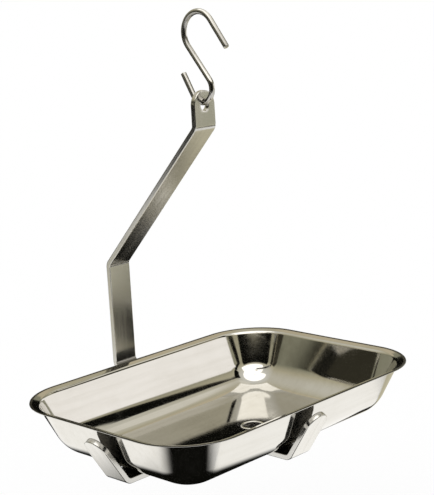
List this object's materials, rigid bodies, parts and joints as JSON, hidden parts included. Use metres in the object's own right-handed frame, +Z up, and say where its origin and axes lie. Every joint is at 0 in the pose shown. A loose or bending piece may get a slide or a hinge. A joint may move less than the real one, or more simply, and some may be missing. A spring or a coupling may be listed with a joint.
{
  "type": "hanging scale pan with hanger",
  "caption": "Rectangular dished weighing pan held in the prongs of a bent flat-bar hanger, which hangs by a drilled tab from an open S-hook.",
  "frame": {"origin": "the place on the inside of the S-hook's upper loop where the scale's own hook bears", "axes": "+Z up; X along the pan's long side; +Y towards the upright of the hanger, which stands behind the pan"},
  "size_m": [0.3798, 0.2951, 0.4571],
  "materials": {
    "hook_wire": "bright drawn and polished round wire",
    "flat_bar": "polished flat bar with fine lengthwise polishing lines",
    "weld_metal": "satin weld bead, left as laid",
    "pan_sheet": "mirror polished pressed sheet"
  },
  "bodies": {
    "hook": {"s_hook": "hook_wire"},
    "hanger": {"hanger_bar": "flat_bar", "left_arm": "flat_bar", "right_arm": "flat_bar", "arm_welds": "weld_metal"},
    "pan": {"weighing_pan": "pan_sheet"}
  },
  "joints": [
    {"name": "hanger_swing", "type": "hinge", "parent": "hook", "child": "hanger", "pos_m": [0, 0, -0.0893], "axis": [0, 1, 0], "range_deg": [-45, 45]},
    {"name": "pan_lift", "type": "slide", "parent": "hanger", "child": "pan", "axis": [0, 0, 1], "range_m": [0, 0.075]}
  ]
}
